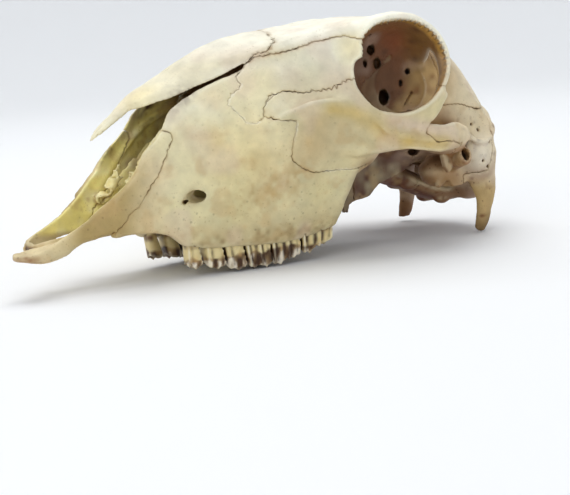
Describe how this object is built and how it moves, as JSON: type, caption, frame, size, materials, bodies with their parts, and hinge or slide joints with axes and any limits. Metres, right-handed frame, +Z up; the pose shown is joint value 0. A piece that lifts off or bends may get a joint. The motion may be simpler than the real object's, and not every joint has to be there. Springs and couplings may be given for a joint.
{
  "type": "sheep skull",
  "caption": "Life-size cranium of a hornless sheep without its lower jaw, its bones parted along their sutures, resting on its cheek teeth.",
  "frame": {"origin": "centre of the bounding box's base, on the floor that the cheek teeth and jugular processes rest on", "axes": "snout towards -X, back of the head towards +X, the animal's left side towards -Y, +Z up"},
  "size_m": [0.2459, 0.1201, 0.1054],
  "materials": {
    "roof_bone": "dry bleached bone, matt ivory white",
    "face_bone": "dry bone, cream with ochre stains, pitted",
    "base_bone": "dry bone, tan to brown, matt and rough",
    "tooth": "cream enamel with dark brown stain, half gloss"
  },
  "bodies": {
    "root": {"nasal_left": "roof_bone", "nasal_right": "roof_bone", "frontal_left": "roof_bone", "frontal_right": "roof_bone", "parietal": "roof_bone", "premaxilla_left": "face_bone", "premaxilla_right": "face_bone", "maxilla_left": "face_bone", "maxilla_right": "face_bone", "lacrimal_left": "face_bone", "lacrimal_right": "face_bone", "zygomatic_left": "face_bone", "zygomatic_right": "face_bone", "temporal_left": "face_bone", "temporal_right": "face_bone", "occipital": "base_bone", "sphenoid": "base_bone", "palatine_left": "base_bone", "palatine_right": "base_bone", "vomer": "base_bone"}
  },
  "joints": []
}
